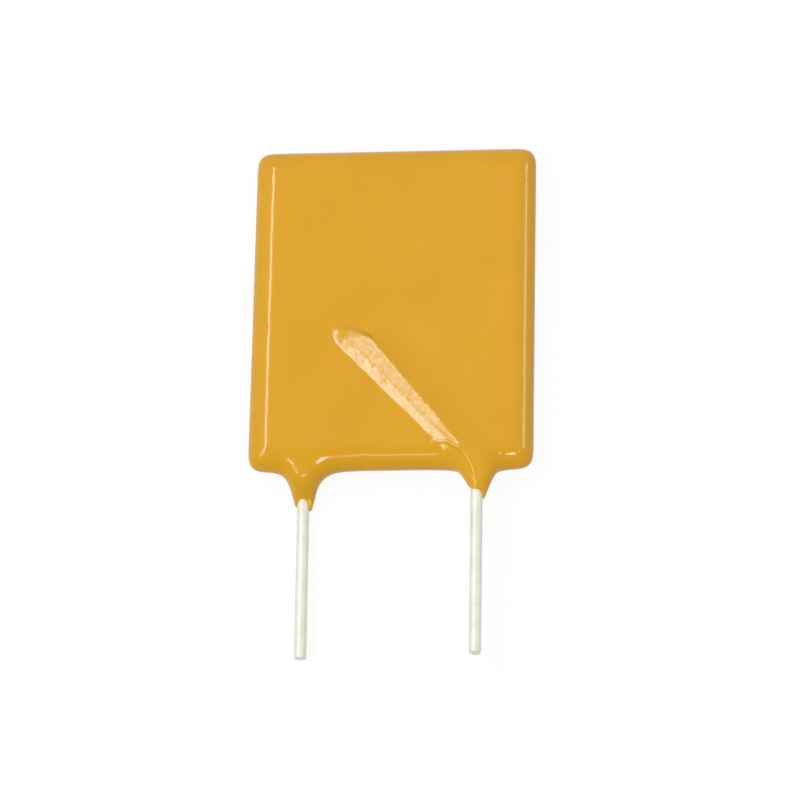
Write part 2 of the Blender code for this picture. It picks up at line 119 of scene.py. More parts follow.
# Small folds and drops where the coating ran together over the right neck, as lines on the front face
Fold = namedtuple("Fold", "height spread points")
FOLDS = (
    Fold(0.00004, 0.00012, ((0.00264, -0.00848), (0.00334, -0.00849), (0.00421, -0.00904))),
    Fold(0.00002, 0.00012, ((0.00421, -0.00904), (0.00473, -0.00983), (0.00503, -0.01055))),
    Fold(0.000015, 0.00010, ((0.00531, -0.01013), (0.00538, -0.01079))),
    Fold(0.00003, 0.00013, ((0.00517, -0.01099), (0.00519, -0.01103))),
)
FOLD_DEPTH = 0.0005

BOND_GAP = 0.00003

# Free ends of the leads: the left one cut flat, the right one drawn to a dome, and both lean a little
CUT_ROUNDING = 0.00006
CUT_EDGE = ((0, 0.8), (CUT_ROUNDING / 3, 0.94), (CUT_ROUNDING, 1))
DOME_LENGTH = 0.00022
DOME_STEPS = 6
LEAD_LEAN = {"front_lead": 0.003, "back_lead": 0.007}
SHARP_ANGLE = math.radians(50)
WIRE_SIDES = 48
BEND_STEPS = 12
STRAIGHT_STEPS = 40

# Fineness of the coating
MIDDLE_COLUMNS = 12
OUTER_COLUMNS = 5
RIDGE_ROWS = 14
PLAIN_ROWS = 5
NECK_RINGS = 5
NECK_TURNS = tuple(math.radians(turn) for turn in (0, 22, 45, 90, 135, 158, 180, 202, 225, 270, 315, 338))
SMOOTHING = 2
FORM_STEPS = 6
FORM_NUDGE = 0.000001

# Where the coating has finer facets: round the front ridge, beside the lines where its slope changes, beside
# the folds, and finest of all over the ridge's lip
FINE_BELOW_FOOT = 0.0004
FINE_ABOVE_WIRE = 0.0008
FINE_BEFORE_BEND = 0.001
FINE_PAST_END = 0.0008
LINE_REACH = 0.00025
CREST_REACH = 0.0003
FOLD_REACH = 2
LIP_REACH_DOWN = 0.00022
LIP_REACH_UP = 0.0001

# Camera, placed from the middle of the body by a fit of the photograph's outline and leads
CAMERA_FROM_BODY = Vector((0.024555, -0.07875, 0.21845))
CAMERA_RIGHT = Vector((0.9945, 0.0195, -0.1031))
CAMERA_FORWARD = Vector((-0.1039, 0.3158, -0.9431))
CAMERA_LENS_MM = 180
CAMERA_SENSOR_MM = 36

# The coating's gloss, and pale flecks of painted highlight: glints put into the base colour over the pitted
# lower flank of the front ridge
EPOXY_GOLDS = ((0.72, 0.36, 0.009), (0.75, 0.382, 0.012))
EPOXY_ROUGHNESS = 0.14
EPOXY_IOR = 1.5
EPOXY_SPECULAR = 0.36
# The pale colour of the painted glints, how much of it, and over which noise values
PAINTED_GLINT_COLOR = (0.93, 0.66, 0.28)
PAINTED_GLINT_SHARE = 0.42
PAINTED_GLINT_RANGE = (0.44, 0.66)
# Where the ridge's flank is pitted and gets its painted glints
PITTING_AND_GLINT_RISE = 0.00008
PITTING_AND_GLINT_START = 0.0021
PITTING_AND_GLINT_END = 0.0113
PITTING_AND_GLINT_FADE = 0.0012

# The leads' plating, with fine lines from the drawing of the wire
TIN_COLORS = ((0.80, 0.81, 0.70), (0.88, 0.89, 0.78))
TIN_METALLIC = 0.3
TIN_ROUGHNESS = 0.55
DRAWN_STRETCH = (1, 0.05, 1)

# Lamps: rectangles that all stand at one distance from the fuse
LAMP_DISTANCE = 0.5
Lamp = namedtuple("Lamp", "name direction width length radiance")
LAMPS = (
    Lamp("key_strip", (-0.44, 0.3, 0.85), 0.045, 0.2, 14),
    Lamp("ridge_strip", (-0.455, -0.01, 0.89), 0.05, 0.14, 14),
    Lamp("ridge_glow", (-0.6, -0.14, 0.79), 0.05, 0.14, 8.5),
    Lamp("right_fill", (0.78, 0.32, 0.53), 0.08, 0.12, 6),
    Lamp("front_spot", (-0.1, -0.5, 0.86), 0.05, 0.05, 6),
    Lamp("left_neck_spot", (-0.46, -0.3, 0.83), 0.05, 0.06, 14),
    Lamp("low_right_spot", (0.12, -0.475, 0.87), 0.09, 0.035, 32),
    Lamp("right_neck_spot", (0.48, -0.21, 0.85), 0.03, 0.08, 10),
    Lamp("band_glow", (-0.024, 0.405, 0.914), 0.05, 0.05, 0.6),
)

# The world lights the fuse. What the fuse reflects of it goes over from a dim side to a white one between
# two Y parts of the direction. The floor is plain paper that mostly glows white to the eye.
WORLD_LIGHT = 0.45
ROOM_GLOSS = 0.45
ROOM_EDGE = (-0.2, 0.25)
FLOOR_SIZE = 3
FLOOR_PAPER = (0.6, 0.6, 0.6)
FLOOR_GLOW = 1.056
FLOOR_GLOW_SHARE = 0.88

# Worked out from the sizes above
WIRE_RADIUS = WIRE_DIAMETER / 2
CORE_WIDTH = LEAD_SPACING + 2 * CORE_PAST_LEAD
BODY_WIDTH = CORE_WIDTH + 2 * COAT_EDGE
BODY_HEIGHT = CORE_HEIGHT + 2 * COAT_EDGE
BODY_BOTTOM = -BODY_HEIGHT / 2
BEND_Y = -CORE_HEIGHT / 2 - BEND_BELOW_CORE
FOIL_TOP = CORE_THICKNESS / 2 + BOND_GAP + FOIL_THICKNESS
SEAT = FOIL_TOP + BOND_GAP
WIRE_Z = SEAT + WIRE_RADIUS
FACE_Z = FOIL_TOP + COAT_FACE
CREST_Z = WIRE_Z + WIRE_RADIUS + COAT_OVER_WIRE
CORNER_INSET = CORNER_RADIUS * (1 - math.sqrt(0.5))
CORNER_POWER = -math.log(2) / math.log(1 - CORNER_INSET / RIM_DEPTH)
RIM_SHARE = 0.5 ** (1 / RIM_POWER)
NECK_RADIUS = WIRE_RADIUS + COAT_FILM

core_low, core_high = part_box("polymer_core")
BODY_CENTRE = (core_low + core_high) / 2

# side is 1 for the front face and -1 for the back, hand is 1 for the right lead and -1 for the left.
Lead = namedtuple("Lead", "name side hand inner outer crest_rounding fall")
FRONT_LEAD = Lead(
    "front_lead", 1, 1, FRONT_LEAD_INNER, FRONT_LEAD_OUTER, FRONT_CREST_ROUNDING, FRONT_FALL
)
BACK_LEAD = Lead(
    "back_lead", -1, -1, BACK_LEAD_INNER, BACK_LEAD_OUTER, BACK_CREST_ROUNDING, BACK_FALL
)
LEADS = (FRONT_LEAD, BACK_LEAD)

# A column of the coating's cage: where it runs over the faces, and where it meets the lower rim.
Column = namedtuple("Column", "face rim")


def lead_x(lead):
    return lead.hand * LEAD_SPACING / 2


def bend_corner(lead):
    return Vector((lead_x(lead), BEND_Y, lead.side * WIRE_Z))


def diagonal_direction(lead):
    return Vector((-lead.hand * math.sin(DIAGONAL_ANGLE), math.cos(DIAGONAL_ANGLE), 0))


def soft_step(value):
    """Zero below zero, one above one, and a smooth rise between."""
    value = np.clip(value, 0, 1)
    return value * value * (3 - 2 * value)


def soft_ramp(value, rounding):
    """Zero below zero and the value itself above, with a rounded corner between."""
    return rounding * np.logaddexp(0, value / rounding)


def soft_least(a, b, rounding):
    """The lesser of two values, with a rounded corner where they are equal."""
    return a - soft_ramp(a - b, rounding)


def ridge_place(lead, x, y):
    """Where points lie along a wire, from its bend, and across it, upwards on the face."""
    corner = bend_corner(lead)
    along_x, along_y, _ = diagonal_direction(lead)
    along = (x - corner.x) * along_x + (y - corner.y) * along_y
    return along, lead.hand * ((x - corner.x) * along_y - (y - corner.y) * along_x)


def ridge_foot(along):
    """How far below the wire the ridge's lower flank starts."""
    return RIDGE_FOOT + RIDGE_FOOT_SPREAD * along


def ridge_crest(along):
    """Where the crest lies across the wire."""
    return RIDGE_CREST + RIDGE_CREST_SPREAD * along


def ridge_height(lead, x, y):
    """How far the coating stands proud of its face over a wire."""
    along, across = ridge_place(lead, x, y)
    foot, crest = ridge_foot(along), ridge_crest(along)
    steeper = RIDGE_HIGH_SLOPE - RIDGE_LOW_SLOPE
    rise = RIDGE_LOW_SLOPE * soft_ramp(across + foot, RIDGE_FOOT_ROUNDING)
    rise += steeper * soft_ramp(across + RIDGE_STEP, RIDGE_STEP_ROUNDING)
    past_lip = across - crest + RIDGE_LIP
    rise -= (RIDGE_HIGH_SLOPE - RIDGE_LIP_SLOPE) * soft_ramp(past_lip, RIDGE_LIP_ROUNDING)
    top = RIDGE_LOW_SLOPE * soft_ramp(crest + foot, RIDGE_FOOT_ROUNDING)
    top += steeper * soft_ramp(crest + RIDGE_STEP, RIDGE_STEP_ROUNDING)
    height = soft_least(rise, top * np.exp((crest - across) / RIDGE_FALL), lead.crest_rounding)
    end = RIDGE_LENGTH - RIDGE_END_BOW * (np.minimum(across, RIDGE_SHOULDER) + RIDGE_END_LOW) ** 2
    height *= 1 - soft_step((along - end) / RIDGE_END_FADE + 0.5)
    return height * (1 - soft_step(-along / RIDGE_START_FADE))


def body_field(x, y, z):
    """About how far points lie outside the dipped body, whose rim is rounded like an ellipse."""
    out_x = np.maximum(abs(x) / RIM_DEPTH - (BODY_WIDTH / 2 / RIM_DEPTH - 1), 0)
    out_y = np.maximum(abs(y) / RIM_DEPTH - (BODY_HEIGHT / 2 / RIM_DEPTH - 1), 0)
    out = (out_x**CORNER_POWER + out_y**CORNER_POWER) ** (1 / CORNER_POWER)
    ridges = np.where(z > 0, ridge_height(FRONT_LEAD, x, y), ridge_height(BACK_LEAD, x, y))
    up = abs(z) / (FACE_Z + ridges)
    return FACE_Z * ((out**RIM_POWER + up**RIM_POWER) ** (1 / RIM_POWER) - 1)


def neck_reach(side, below):
    """The neck's half width on one side, at a depth below the body."""
    left_over = np.maximum(1 - below / side.length, 0)
    return side.tip + side.taper * left_over + side.flare * np.exp(-below / FLARE_LENGTH)


def neck_length(lead, aside, front):
    """How far a neck runs down at a place round its wire, given in shares of the neck's radius."""
    length = lead.inner.length + (lead.outer.length - lead.inner.length) * soft_step((aside + 1) / 2)
    return length + (NECK_FRONT_LENGTH - length) * soft_step(front)


def neck_field(lead, x, y, z):
    """About how far points lie outside a neck: an oval that closes in on the wire, down to a rounded end."""
    below = soft_ramp(BODY_BOTTOM - y, MOUTH_ROUNDING)
    aside = lead.hand * (x - lead_x(lead))
    reach = np.where(aside > 0, neck_reach(lead.outer, below), neck_reach(lead.inner, below))
    down = np.minimum(below / neck_length(lead, 0, 0), 1)
    near = CREST_Z + (WIRE_Z + NECK_RADIUS - CREST_Z) * down
    near -= CREST_Z * soft_step((y - BEND_Y) / NECK_ROOT)
    far = WIRE_Z - NECK_RADIUS
    fallen = np.minimum(below / lead.fall.length, 1) ** lead.fall.power
    far -= (FACE_Z * lead.fall.share + far) * (1 - fallen)
    half = (near - far) / 2
    share = np.hypot(aside / reach, (lead.side * z - (near + far) / 2) / half)
    outside = (share - 1) * NECK_RADIUS
    length = neck_length(lead, aside / NECK_RADIUS, (z - lead.side * WIRE_Z) / NECK_RADIUS)
    past_end = BODY_BOTTOM - y - length
    above_root = y - BEND_Y - NECK_ROOT
    return np.maximum(-soft_least(-outside, -past_end, NECK_END_ROUNDING), above_root)


def line_distance(points, x, y):
    """How far places on the face lie from a line through points."""
    nearest = np.full_like(x, np.inf)
    for (start_x, start_y), (end_x, end_y) in zip(points, points[1:]):
        along_x, along_y = end_x - start_x, end_y - start_y
        share = ((x - start_x) * along_x + (y - start_y) * along_y) / (along_x**2 + along_y**2)
        share = np.clip(share, 0, 1)
        aside = np.hypot(x - start_x - along_x * share, y - start_y - along_y * share)
        nearest = np.minimum(nearest, aside)
    return nearest


def fold_height(x, y, z):
    """How far the coating stands proud at its folds, which fade out down the rim."""
    height = np.zeros_like(x)
    for fold in FOLDS:
        height += fold.height * np.exp(-((line_distance(fold.points, x, y) / fold.spread) ** 2))
    return height * soft_step(z / FOLD_DEPTH)


def coating_field(x, y, z):
    field = body_field(x, y, z)
    for lead in LEADS:
        field = soft_least(field, neck_field(lead, x, y, z), NECK_FILLET)
    return field - fold_height(x, y, z)


def form_slope(points):
    """How the field changes at points, one a row, along each axis."""
    slope = np.empty_like(points)
    for axis, nudge in enumerate(np.eye(3) * FORM_NUDGE):
        ahead, behind = coating_field(*(points + nudge).T), coating_field(*(points - nudge).T)
        slope[:, axis] = (ahead - behind) / (2 * FORM_NUDGE)
    return slope


def drawn_onto_form(points):
    """Moves points, one a row, along the field's slope until they lie on the coating's surface."""
    for _ in range(FORM_STEPS):
        slope = form_slope(points)
        step = coating_field(*points.T) / (slope**2).sum(axis=1)
        points = points - slope * step[:, None]
    return points


def even_steps(start, end, count):
    """Evenly spaced values from start, which is left out, to end."""
    return [start + (end - start) * k / count for k in range(1, count + 1)]


def columns_beside(lead):
    """The columns from a neck's inner side over its axis to the face's edge, with x measured outwards."""
    axis = LEAD_SPACING / 2
    between = math.tan(NECK_TURNS[1])
    inner = neck_reach(lead.inner, NECK_MOUTH)
    outer = neck_reach(lead.outer, NECK_MOUTH)
    corner = BODY_WIDTH / 2 - CORNER_RADIUS
    over_face = [axis - inner, axis - inner * between, axis]
    on_rim = over_face + [axis + outer * between, axis + outer, (axis + outer + corner) / 2, corner]
    over_face += even_steps(axis, BODY_WIDTH / 2 - RIM_DEPTH, OUTER_COLUMNS)
    return [Column(*places) for places in zip(over_face, on_rim + [BODY_WIDTH / 2 - CORNER_INSET])]


def cage_columns():
    """The cage's places across the body: the face's edges, the necks' sides and axes, and between them."""
    left = [Column(-column.face, -column.rim) for column in reversed(columns_beside(BACK_LEAD))]
    right = columns_beside(FRONT_LEAD)
    middle = even_steps(left[-1].face, right[0].face, MIDDLE_COLUMNS)[:-1]
    return left + [Column(x, x) for x in middle] + right


def cage_rows():
    """The cage's places up the body, close together where the ridges are."""
    edge = BODY_HEIGHT / 2 - RIM_DEPTH
    ridge_top = BEND_Y + DIAGONAL_LENGTH * math.cos(DIAGONAL_ANGLE) + RIDGE_END_FADE
    rows = [-edge] + even_steps(-edge, ridge_top, RIDGE_ROWS)
    return rows + even_steps(ridge_top, edge - CORNER_RADIUS, PLAIN_ROWS) + [edge]


def outline_point(columns, rows, i, j):
    """Where the rim's outermost line passes the face's border point in column i, row j."""
    half_width, half_height = BODY_WIDTH / 2, BODY_HEIGHT / 2
    x = columns[i].rim if j == 0 or i in (0, 1, len(columns) - 2, len(columns) - 1) else columns[i].face
    y = rows[j]
    at_side = i in (0, len(columns) - 1)
    at_end = j in (0, len(rows) - 1)
    if at_side and at_end:
        return Vector((x, math.copysign(half_height - CORNER_INSET, y)))
    if at_end:
        return Vector((x, math.copysign(half_height, y)))
    if j in (1, len(rows) - 2):
        y = math.copysign(half_height - CORNER_RADIUS, y)
    return Vector((math.copysign(half_width, x), y))


def neck_columns(columns, lead):
    """The numbers of a neck's five columns, from its inner side to its outer one."""
    middle = min(range(len(columns)), key=lambda i: abs(columns[i].face - lead_x(lead)))
    return [middle + lead.hand * step for step in (-2, -1, 0, 1, 2)]


def border_of(columns, rows):
    """(column, row) of each border point, once round, anticlockwise from the lower left corner."""
    last_i, last_j = len(columns) - 1, len(rows) - 1
    border = [(i, 0) for i in range(last_i)]
    border += [(last_i, j) for j in range(last_j)]
    border += [(i, last_j) for i in range(last_i, 0, -1)]
    return border + [(0, j) for j in range(last_j, 0, -1)]


def body_cage(bm, columns, rows):
    """The body's vertices: two faces of rows, and a rim of three lines, keyed by their place."""
    faces = {}
    for side in (1, -1):
        for i, column in enumerate(columns):
            for j, y in enumerate(rows):
                faces[side, i, j] = bm.verts.new((column.face, y, side * FACE_Z))
    rim = {}
    for i, j in border_of(columns, rows):
        outer = outline_point(columns, rows, i, j)
        inner = Vector((columns[i].face, rows[j]))
        rim[0, i, j] = bm.verts.new((*outer, 0))
        for side in (1, -1):
            x, y = outer.lerp(inner, 1 - RIM_SHARE)
            rim[side, i, j] = bm.verts.new((x, y, side * FACE_Z * RIM_SHARE))
    return faces, rim


def neck_ring_points(lead, down):
    """The points round a neck, the share down of the way from its mouth to its tip."""
    top, bottom = CREST_Z, -FACE_Z * RIM_SHARE
    middle = (top + bottom) / 2 * (1 - down) + WIRE_Z * down
    half = (top - bottom) / 2 * (1 - down) + NECK_RADIUS * down
    points = []
    for turn in NECK_TURNS:
        aside, ahead = math.sin(turn), math.cos(turn)
        square = max(abs(aside), abs(ahead))
        reach = neck_reach(lead.outer if aside > 0 else lead.inner, NECK_MOUTH)
        reach += (NECK_RADIUS - reach) * down
        length = neck_length(lead, aside, lead.side * ahead)
        x = lead_x(lead) + lead.hand * aside / (square + (1 - square) * down) * reach
        y = BODY_BOTTOM - NECK_MOUTH - (length - NECK_MOUTH) * down
        points.append((x, y, lead.side * (middle + ahead * half)))
    return points


def neck_cage(bm, lead, columns, rim):
    """The neck: rings drawn out of the rim's faces at the lead, closed over the wire."""
    inner, mid_inner, middle, mid_outer, outer = neck_columns(columns, lead)
    near, far = lead.side, -lead.side
    around = [(near, middle), (near, mid_outer), (near, outer), (0, outer)]
    around += [(far, outer), (far, mid_outer), (far, middle), (far, mid_inner), (far, inner)]
    around += [(0, inner), (near, inner), (near, mid_inner)]
    ring = [rim[side, i, 0] for side, i in around]
    for vert, point in zip(ring, neck_ring_points(lead, 0)):
        vert.co.z = point[2]
    for k in range(1, NECK_RINGS + 1):
        following = [bm.verts.new(point) for point in neck_ring_points(lead, k / NECK_RINGS)]
        bridge(bm, ring, following)
        ring = following
    tip = bm.verts.new(sum((vert.co for vert in ring), Vector()) / len(ring))
    for k in range(0, len(ring), 2):
        bm.faces.new((ring[k], ring[k + 1], ring[(k + 2) % len(ring)], tip))
    for i in (mid_inner, middle, mid_outer):
        bm.verts.remove(rim[0, i, 0])


def body_faces(bm, columns, rows, faces, rim):
    """Quads over both faces and round the rim, but not where a neck leaves it."""
    for side in (1, -1):
        for i in range(len(columns) - 1):
            for j in range(len(rows) - 1):
                corners = ((i, j), (i + 1, j), (i + 1, j + 1), (i, j + 1))
                bm.faces.new([faces[side, *corner] for corner in corners])
    mouths = set()
    for lead in LEADS:
        mouths |= {(i, 0) for i in sorted(neck_columns(columns, lead))[:-1]}
    border = border_of(columns, rows)
    for here, following in zip(border, border[1:] + border[:1]):
        for side in (1, -1):
            quad = (rim[side, *here], rim[side, *following])
            bm.faces.new((*quad, faces[side, *following], faces[side, *here]))
            if here not in mouths:
                bm.faces.new((rim[0, *here], rim[0, *following], quad[1], quad[0]))


def limit_weights(bm):
    """The Catmull-Clark rule for where each vertex ends up on the smoothed surface, one vertex a row."""
    weights = np.zeros((len(bm.verts), len(bm.verts)))
    for vert in bm.verts:
        valence = len(vert.link_edges)
        weights[vert.index, vert.index] = valence**2
        for edge in vert.link_edges:
            weights[vert.index, edge.other_vert(vert).index] += 4
        for face in vert.link_faces:
            corners = [corner.index for corner in face.verts]
            weights[vert.index, corners[corners.index(vert.index) - 2]] += 1
        weights[vert.index] /= valence * (valence + 5)
    return weights


def draw_onto_form(bm):
    """Puts the cage where the surface that is smoothed from it passes through the coating's form."""
    bm.verts.index_update()
    targets = drawn_onto_form(np.array([vert.co for vert in bm.verts]))
    for vert, place in zip(bm.verts, np.linalg.solve(limit_weights(bm), targets)):
        vert.co = place


def bridge(bm, ring_a, ring_b):
    count = len(ring_a)
    for k in range(count):
        following = (k + 1) % count
        bm.faces.new((ring_a[k], ring_a[following], ring_b[following], ring_b[k]))


def object_from(name, bm):
    bmesh.ops.recalc_face_normals(bm, faces=bm.faces)
    mesh = bpy.data.meshes.new(name)
    bm.to_mesh(mesh)
    bm.free()
    obj = bpy.data.objects.new(name, mesh)
    bpy.context.scene.collection.objects.link(obj)
    return obj


def bake_modifiers(obj):
    """Puts what the modifiers make into the object's own mesh."""
    graph = bpy.context.evaluated_depsgraph_get()
    mesh = bpy.data.meshes.new_from_object(obj.evaluated_get(graph))
    obj.modifiers.clear()
    obj.data = mesh


def halve_facets(mesh, wanted):
    """Cuts the edges of the wanted faces in half, given a function of the faces' middles."""
    bm = bmesh.new()
    bm.from_mesh(mesh)
    middles = np.array([face.calc_center_median() for face in bm.faces])
    chosen = {edge for face, want in zip(bm.faces, wanted(*middles.T)) if want for edge in face.edges}
    bmesh.ops.subdivide_edges(bm, edges=list(chosen), cuts=1, use_grid_fill=True)
    many_sided = [face for face in bm.faces if len(face.verts) > 4]
    bmesh.ops.triangulate(bm, faces=many_sided, quad_method="BEAUTY", ngon_method="BEAUTY")
    bm.to_mesh(mesh)
    bm.free()


def seen_rim(x, y, z):
    """The rim and the necks, as far as the front shows them."""
    inside = (abs(x) < BODY_WIDTH / 2 - RIM_DEPTH) & (abs(y) < BODY_HEIGHT / 2 - RIM_DEPTH)
    return ~inside & (z > -FACE_Z / 2)


def front_ridge(x, y, z):
    """On the front ridge or close round it."""
    along, across = ridge_place(FRONT_LEAD, x, y)
    beside = (across > -RIDGE_FOOT - FINE_BELOW_FOOT) & (across < FINE_ABOVE_WIRE)
    return (z > 0) & beside & (along > -FINE_BEFORE_BEND) & (along < RIDGE_LENGTH + FINE_PAST_END)


def fine_lines(x, y, z):
    """Close to the lines where the ridge's slope changes, and to the folds."""
    along, across = ridge_place(FRONT_LEAD, x, y)
    near = abs(across + ridge_foot(along)) < LINE_REACH
    near |= abs(across + RIDGE_STEP) < LINE_REACH
    near |= abs(across - ridge_crest(along)) < CREST_REACH
    near &= front_ridge(x, y, z)
    for fold in FOLDS:
        near |= line_distance(fold.points, x, y) < FOLD_REACH * fold.spread
    return near & (z > 0)


def crest_line(x, y, z):
    """Over the lip that ends in the crest."""
    along, across = ridge_place(FRONT_LEAD, x, y)
    past_crest = across - ridge_crest(along)
    return front_ridge(x, y, z) & (past_crest > -LIP_REACH_DOWN) & (past_crest < LIP_REACH_UP)


def form_normals(points):
    """The directions, one a row, in which the coating's surface looks at points on it."""
    slope = form_slope(points)
    return slope / np.linalg.norm(slope, axis=1)[:, None]


def make_coating():
    """The dipped skin: a smoothed cage on the coating's form, with finer facets where the front shows it."""
    columns, rows = cage_columns(), cage_rows()
    bm = bmesh.new()
    faces, rim = body_cage(bm, columns, rows)
    body_faces(bm, columns, rows, faces, rim)
    for lead in LEADS:
        neck_cage(bm, lead, columns, rim)
    draw_onto_form(bm)
    coating = object_from("dipped_coating", bm)
    smooth = coating.modifiers.new("smooth", "SUBSURF")
    smooth.levels = SMOOTHING
    smooth.render_levels = SMOOTHING
    bake_modifiers(coating)
    mesh = coating.data
    for wanted in (seen_rim, front_ridge, fine_lines, crest_line):
        halve_facets(mesh, wanted)
    points = drawn_onto_form(np.array([vert.co for vert in mesh.vertices]))
    mesh.vertices.foreach_set("co", points.ravel())
    mesh.shade_smooth()
    mesh.normals_split_custom_set_from_vertices(form_normals(points))
    # The share of pitting relief and of painted highlight flecks, kept on the points for the material
    pitting_and_glint = mesh.attributes.new("pitting_and_glint", "FLOAT", "POINT")
    pitting_and_glint.data.foreach_set("value", pitting_and_glint_share(*points.T))
    coating.location = BODY_CENTRE
    return coating


def pitting_and_glint_share(x, y, z):
    """Where the coating is pitted like orange peel, and where pale flecks of painted highlight go: on the
    lower flank of the front ridge.
    """
    along, across = ridge_place(FRONT_LEAD, x, y)
    share = soft_step(ridge_height(FRONT_LEAD, x, y) / PITTING_AND_GLINT_RISE)
    share *= soft_step((along - PITTING_AND_GLINT_START) / PITTING_AND_GLINT_FADE) * soft_step((PITTING_AND_GLINT_END - along) / PITTING_AND_GLINT_FADE)
    return np.where((z > 0) & (across < ridge_crest(along)), share, 0)


def bend_points(lead):
    """The rounded bend, as pairs of a point on the wire's axis and the direction of the wire there."""
    tangent_length = BEND_RADIUS * math.tan(DIAGONAL_ANGLE / 2)
    start = bend_corner(lead) - Vector((0, tangent_length, 0))
    centre = start - Vector((lead.hand * BEND_RADIUS, 0, 0))
    pairs = []
    for step in range(BEND_STEPS + 1):
        turn = DIAGONAL_ANGLE * step / BEND_STEPS
        outwards = Vector((lead.hand * math.cos(turn), math.sin(turn), 0))
        along = Vector((-lead.hand * math.sin(turn), math.cos(turn), 0))
        pairs.append((centre + outwards * BEND_RADIUS, along))
    return pairs


def tip_places(lead):
    """The free end as pairs of a distance from the tip and a share of the wire's radius."""
    if lead is BACK_LEAD:
        return CUT_EDGE
    turns = [math.pi / 2 * step / DOME_STEPS for step in reversed(range(DOME_STEPS))]
    return [(DOME_LENGTH * (1 - math.sin(turn)), math.cos(turn)) for turn in turns]


def make_lead(lead):
    """A drawn wire: its cut end, the straight run that leans a little, the bend and the soldered diagonal."""
    low_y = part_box(lead.name)[0].y - BODY_CENTRE.y
    exit_y = BODY_BOTTOM - NECK_FRONT_LENGTH
    straight = Vector((0, 1, 0))
    places = []
    for distance, share in tip_places(lead):
        places.append((Vector((lead_x(lead), low_y + distance, lead.side * WIRE_Z)), straight, share))
    first_y = places[-1][0].y
    bend = bend_points(lead)
    for step in range(1, STRAIGHT_STEPS + 1):
        y = first_y + (bend[0][0].y - first_y) * step / (STRAIGHT_STEPS + 1)
        places.append((Vector((lead_x(lead), y, lead.side * WIRE_Z)), straight, 1))
    places += [(point, along, 1) for point, along in bend]
    diagonal = diagonal_direction(lead)
    places.append((bend_corner(lead) + diagonal * DIAGONAL_LENGTH, diagonal, 1))
    bm = bmesh.new()
    rings = []
    for point, along, share in places:
        across = Vector((along.y, -along.x, 0))
        lean = LEAD_LEAN[lead.name] * max(exit_y - point.y, 0)
        middle = point + Vector((lean, 0, 0))
        ring = []
        for k in range(WIRE_SIDES):
            angle = 2 * math.pi * k / WIRE_SIDES
            outwards = math.cos(angle) * across + math.sin(angle) * Vector((0, 0, 1))
            ring.append(bm.verts.new(middle + outwards * WIRE_RADIUS * share))
        rings.append(ring)
    for ring_a, ring_b in zip(rings, rings[1:]):
        bridge(bm, ring_a, ring_b)
    bm.faces.new(rings[0])
    bm.faces.new(rings[-1])
    obj = object_from(f"{lead.name}_wire", bm)
    obj.data.shade_smooth()
    obj.data.set_sharp_from_angle(angle=SHARP_ANGLE)
    obj.location = BODY_CENTRE
    return obj


def node_material(name):
    """A new material, with its nodes and its shader."""
    material = bpy.data.materials.new(name)
    material.use_nodes = True
    tree = material.node_tree
    return material, tree, tree.nodes["Principled BSDF"]


def noise_node(tree, place, scale, detail):
    node = tree.nodes.new("ShaderNodeTexNoise")
    node.inputs["Scale"].default_value = scale
    node.inputs["Detail"].default_value = detail
    tree.links.new(place, node.inputs["Vector"])
    return node.outputs["Fac"]


def color_ramp(tree, value, positions, colors):
    node = tree.nodes.new("ShaderNodeValToRGB")
    for element, position, color in zip(node.color_ramp.elements, positions, colors):
        element.position = position
        element.color = (*color, 1)
    tree.links.new(value, node.inputs["Fac"])
    return node.outputs["Color"]


def bump_node(tree, height, distance, strength=1.0, before=None):
    """Relief on top of the relief before it. Its strength is a number or a socket that gives one."""
    node = tree.nodes.new("ShaderNodeBump")
    node.inputs["Distance"].default_value = distance
    if hasattr(strength, "node"):
        tree.links.new(strength, node.inputs["Strength"])
    else:
        node.inputs["Strength"].default_value = strength
    tree.links.new(height, node.inputs["Height"])
    if before:
        tree.links.new(before, node.inputs["Normal"])
    return node.outputs["Normal"]


def epoxy_material():
    material, tree, shader = node_material("gold_epoxy_finish")
    place = tree.nodes.new("ShaderNodeTexCoord").outputs["Object"]
    clouds = noise_node(tree, place, scale=260, detail=3)
    gold = color_ramp(tree, clouds, (0.3, 0.7), EPOXY_GOLDS)
    waves = bump_node(tree, noise_node(tree, place, scale=700, detail=1), distance=0.00003)
    fine = noise_node(tree, place, scale=3000, detail=2)
    peel = bump_node(tree, fine, distance=0.000005, strength=0.5, before=waves)
    pitting_and_glint = tree.nodes.new("ShaderNodeAttribute")
    pitting_and_glint.attribute_name = "pitting_and_glint"
    pit_and_glint_noise = noise_node(tree, place, scale=4300, detail=1)
    pitted = bump_node(tree, pit_and_glint_noise, distance=0.00001, strength=pitting_and_glint.outputs["Fac"], before=peel)
    tree.links.new(pitted, shader.inputs["Normal"])
    # Pale flecks of painted highlight in the base colour, over the pitted flank
    base = with_painted_glints(tree, gold, pit_and_glint_noise, pitting_and_glint.outputs["Fac"])
    tree.links.new(base, shader.inputs["Base Color"])
    shader.inputs["Roughness"].default_value = EPOXY_ROUGHNESS
    shader.inputs["IOR"].default_value = EPOXY_IOR
    shader.inputs["Specular IOR Level"].default_value = EPOXY_SPECULAR
    return material


